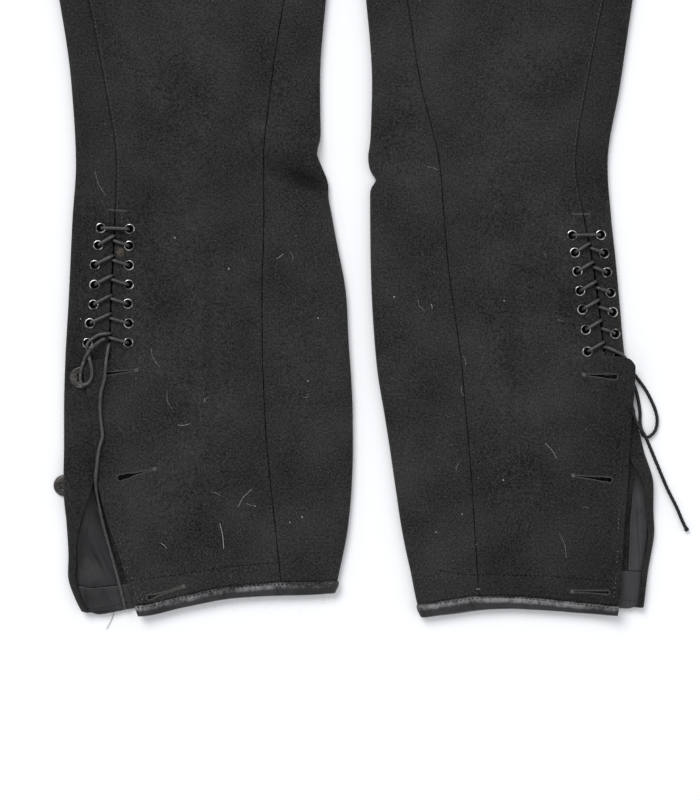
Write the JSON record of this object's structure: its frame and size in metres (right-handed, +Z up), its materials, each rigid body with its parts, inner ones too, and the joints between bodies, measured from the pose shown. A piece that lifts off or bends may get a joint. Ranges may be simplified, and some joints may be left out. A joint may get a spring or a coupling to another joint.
{
  "type": "knee breeches laced at the calf",
  "caption": "Black wool knee breeches lying flat with the front up, cut long to the calf, with laced outer slits, a buttonhole flap and bound hems.",
  "frame": {"origin": "centre of the garment's outline, on the surface it lies on", "axes": "+X to the wearer's left, +Y to the waist, +Z up out of the front"},
  "size_m": [0.5102, 0.8946, 0.0146],
  "materials": {
    "black_wool": "brushed matt melton wool",
    "black_satin": "worn satin with a soft sheen",
    "charcoal_lining": "smooth twill lining",
    "blackened_brass": "blackened and worn bright at the rims",
    "dark_horn": "polished dark horn",
    "waxed_lace": "waxed cotton, satin"
  },
  "bodies": {
    "root": {"back_panel_left": "black_wool", "back_panel_right": "black_wool", "calf_button_left_1": "dark_horn", "calf_button_left_2": "dark_horn", "calf_button_left_3": "dark_horn", "calf_button_right_1": "dark_horn", "calf_button_right_2": "dark_horn", "calf_button_right_3": "dark_horn", "eyelet_left_back_1": "blackened_brass", "eyelet_left_back_2": "blackened_brass", "eyelet_left_back_3": "blackened_brass", "eyelet_left_back_4": "blackened_brass", "eyelet_left_back_5": "blackened_brass", "eyelet_left_back_6": "blackened_brass", "eyelet_left_back_7": "blackened_brass", "eyelet_left_front_1": "blackened_brass", "eyelet_left_front_2": "blackened_brass", "eyelet_left_front_3": "blackened_brass", "eyelet_left_front_4": "blackened_brass", "eyelet_left_front_5": "blackened_brass", "eyelet_left_front_6": "blackened_brass", "eyelet_left_front_7": "blackened_brass", "eyelet_right_back_1": "blackened_brass", "eyelet_right_back_2": "blackened_brass", "eyelet_right_back_3": "blackened_brass", "eyelet_right_back_4": "blackened_brass", "eyelet_right_back_5": "blackened_brass", "eyelet_right_back_6": "blackened_brass", "eyelet_right_back_7": "blackened_brass", "eyelet_right_front_1": "blackened_brass", "eyelet_right_front_2": "blackened_brass", "eyelet_right_front_3": "blackened_brass", "eyelet_right_front_4": "blackened_brass", "eyelet_right_front_5": "blackened_brass", "eyelet_right_front_6": "blackened_brass", "eyelet_right_front_7": "blackened_brass", "fly_underlap": "black_wool", "front_panel_left": "black_wool", "front_panel_right": "black_wool", "hem_binding_left": "black_satin", "hem_binding_right": "black_satin", "hem_facing_left": "black_satin", "hem_facing_right": "black_satin", "lace_loop_left": "waxed_lace", "lace_loop_right": "waxed_lace", "lace_tail_left": "waxed_lace", "lace_tail_right": "waxed_lace", "lacing_left": "waxed_lace", "lacing_right": "waxed_lace", "placket_lining_left": "charcoal_lining", "placket_lining_right": "charcoal_lining", "waist_button": "dark_horn", "waistband_left": "black_wool", "waistband_right": "black_wool"}
  },
  "joints": []
}
